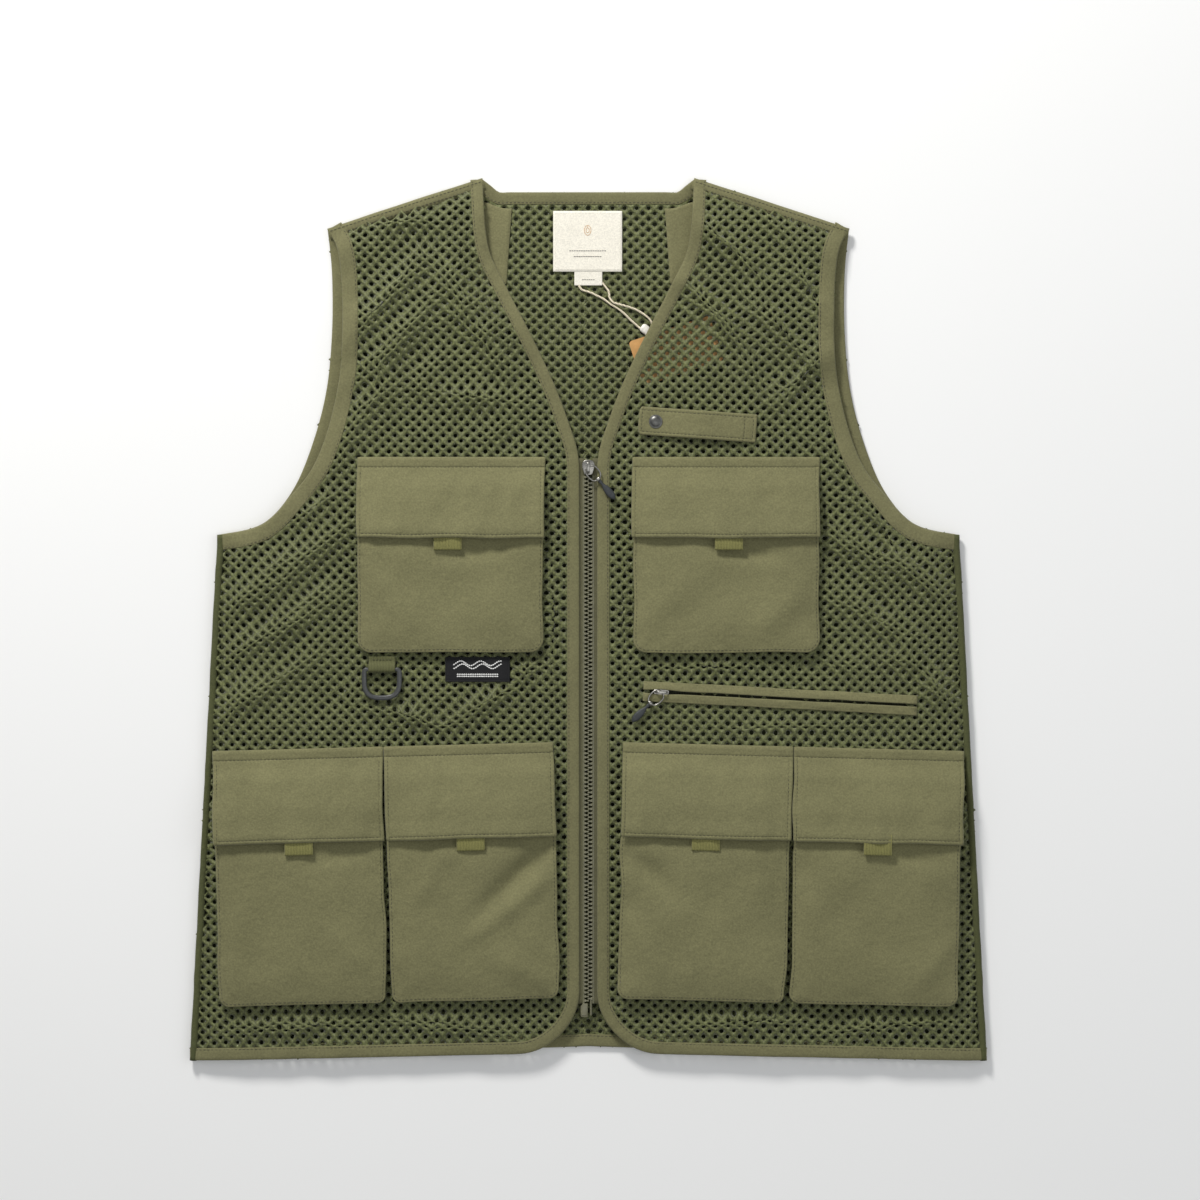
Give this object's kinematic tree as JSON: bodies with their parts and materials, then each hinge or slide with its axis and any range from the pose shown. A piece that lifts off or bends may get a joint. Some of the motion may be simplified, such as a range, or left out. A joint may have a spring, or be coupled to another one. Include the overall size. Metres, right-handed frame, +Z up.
{
  "type": "fishing vest",
  "caption": "Mesh fishing vest laid flat, with bound edges, a front zip, flapped bellows pockets, a slanted zip pocket, a snap strap and a D-ring.",
  "frame": {"origin": "middle of the laid-flat vest, on the surface that the back panel lies on", "axes": "+Z up out of the fronts, +Y towards the neck, +X to the right as seen from above, which is the wearer's left"},
  "size_m": [0.58, 0.642, 0.0208],
  "materials": {
    "mesh_fabric": "knitted mesh with round holes, slight sheen",
    "binding": "folded woven binding",
    "woven_fabric": "fine plain weave, matt",
    "webbing": "ribbed webbing",
    "hook_and_loop": "hook-and-loop",
    "zip_tape": "woven zip tape",
    "zip_teeth": "moulded plastic, satin",
    "pocket_zip": "coil zip",
    "zip_metal": "bright plated metal, worn",
    "pull_cord": "dark cord with a moulded end",
    "d_ring_plastic": "dark moulded plastic",
    "patch": "woven patch",
    "label": "woven label",
    "string": "twisted cotton string",
    "seal_plastic": "white plastic",
    "tag_card": "printed card",
    "snap_metal": "gunmetal plated"
  },
  "bodies": {
    "back": {"back_panel": "mesh_fabric", "neck_binding": "binding", "armhole_bindings": "binding", "back_hem_binding": "binding", "side_seams": "binding", "shoulder_seams": "binding", "front_yokes": "mesh_fabric", "shoulder_facings": "woven_fabric", "neck_label": "label", "size_label": "label", "string": "string", "seal": "seal_plastic", "hang_tag": "tag_card"},
    "front_right": {"front_panel_right": "mesh_fabric", "edge_binding_right": "binding", "armhole_binding_right": "binding", "zip_tape_right": "zip_tape", "zip_teeth_right": "zip_teeth", "zip_box": "zip_teeth", "chest_pocket_right": "woven_fabric", "inner_pocket_right": "woven_fabric", "outer_pocket_right": "woven_fabric", "loop_strips_right": "hook_and_loop", "patch_label": "patch", "webbing_loop": "webbing"},
    "front_left": {"front_panel_left": "mesh_fabric", "edge_binding_left": "binding", "armhole_binding_left": "binding", "zip_tape_left": "zip_tape", "zip_teeth_left": "zip_teeth", "chest_pocket_left": "woven_fabric", "inner_pocket_left": "woven_fabric", "outer_pocket_left": "woven_fabric", "loop_strips_left": "hook_and_loop", "welts": "woven_fabric", "pocket_zip": "pocket_zip", "pocket_bag": "mesh_fabric", "strap_base": "woven_fabric", "snap_stud": "snap_metal"},
    "d_ring": {"d_ring": "d_ring_plastic"},
    "zip_slider": {"zip_slider": "zip_metal"},
    "zip_pull_ring": {"zip_pull_ring": "zip_metal"},
    "zip_pull_tab": {"zip_pull_tab": "pull_cord"},
    "pocket_slider": {"pocket_slider": "zip_metal"},
    "pocket_pull_ring": {"pocket_pull_ring": "zip_metal"},
    "pocket_pull_tab": {"pocket_pull_tab": "pull_cord"},
    "snap_strap": {"snap_strap": "woven_fabric", "snap_cap": "snap_metal"},
    "chest_flap_right": {"chest_flap_right": "woven_fabric", "chest_tab_right": "webbing"},
    "inner_flap_right": {"inner_flap_right": "woven_fabric", "inner_tab_right": "webbing"},
    "outer_flap_right": {"outer_flap_right": "woven_fabric", "outer_tab_right": "webbing"},
    "chest_flap_left": {"chest_flap_left": "woven_fabric", "chest_tab_left": "webbing"},
    "inner_flap_left": {"inner_flap_left": "woven_fabric", "inner_tab_left": "webbing"},
    "outer_flap_left": {"outer_flap_left": "woven_fabric", "outer_tab_left": "webbing"}
  },
  "joints": [
    {"name": "front_left_swing", "type": "hinge", "parent": "back", "child": "front_left", "pos_m": [0.28, -0.1295, 0.0078], "axis": [-0.0521, 0.9986, 0], "range_deg": [0, 20]},
    {"name": "front_right_swing", "type": "hinge", "parent": "back", "child": "front_right", "pos_m": [-0.28, -0.1295, 0.0078], "axis": [-0.0521, -0.9986, 0], "range_deg": [0, 20]},
    {"name": "chest_flap_right_lift", "type": "hinge", "parent": "front_right", "child": "chest_flap_right", "pos_m": [-0.1, 0.1115, 0.0098], "axis": [-1, 0, 0], "range_deg": [0, 95]},
    {"name": "inner_flap_right_lift", "type": "hinge", "parent": "front_right", "child": "inner_flap_right", "pos_m": [-0.08683, -0.0975, 0.0098], "axis": [-0.9997, -0.0262, 0], "range_deg": [0, 110]},
    {"name": "outer_flap_right_lift", "type": "hinge", "parent": "front_right", "child": "outer_flap_right", "pos_m": [-0.21129, -0.10076, 0.0098], "axis": [-0.9997, -0.0262, 0], "range_deg": [0, 110]},
    {"name": "chest_flap_left_lift", "type": "hinge", "parent": "front_left", "child": "chest_flap_left", "pos_m": [0.1, 0.1115, 0.0098], "axis": [-1, 0, 0], "range_deg": [0, 95]},
    {"name": "inner_flap_left_lift", "type": "hinge", "parent": "front_left", "child": "inner_flap_left", "pos_m": [0.08683, -0.0975, 0.0098], "axis": [-0.9997, 0.0262, 0], "range_deg": [0, 110]},
    {"name": "outer_flap_left_lift", "type": "hinge", "parent": "front_left", "child": "outer_flap_left", "pos_m": [0.21129, -0.10076, 0.0098], "axis": [-0.9997, 0.0262, 0], "range_deg": [0, 110]},
    {"name": "d_ring_swing", "type": "hinge", "parent": "front_right", "child": "d_ring", "pos_m": [-0.15, -0.036, 0.0112], "axis": [-1, 0, 0], "range_deg": [0, 140]},
    {"name": "snap_strap_lift", "type": "hinge", "parent": "front_left", "child": "snap_strap", "pos_m": [0.11281, 0.1397, 0.0104], "axis": [0.0698, 0.9976, 0], "range_deg": [0, 120]},
    {"name": "zip_slide", "type": "slide", "parent": "front_right", "child": "zip_slider", "axis": [0, -1, 0], "range_m": [0, 0.378]},
    {"name": "zip_pull_ring_swing", "type": "hinge", "parent": "zip_slider", "child": "zip_pull_ring", "pos_m": [0, 0.1109, 0.01115], "axis": [-0.766, -0.6428, 0], "range_deg": [0, 120]},
    {"name": "zip_pull_tab_swing", "type": "hinge", "parent": "zip_pull_ring", "child": "zip_pull_tab", "pos_m": [0.00726, 0.10224, 0.01115], "axis": [-0.766, -0.6428, 0], "range_deg": [0, 60]},
    {"name": "pocket_zip_slide", "type": "slide", "parent": "front_left", "child": "pocket_slider", "axis": [0.9986, -0.0523, 0], "range_m": [0, 0.17]},
    {"name": "pocket_pull_ring_swing", "type": "hinge", "parent": "pocket_slider", "child": "pocket_pull_ring", "pos_m": [0.05312, -0.05247, 0.01115], "axis": [-0.7071, 0.7071, 0], "range_deg": [0, 120]},
    {"name": "pocket_pull_tab_swing", "type": "hinge", "parent": "pocket_pull_ring", "child": "pocket_pull_tab", "pos_m": [0.04513, -0.06046, 0.01115], "axis": [-0.7071, 0.7071, 0], "range_deg": [0, 60]}
  ]
}
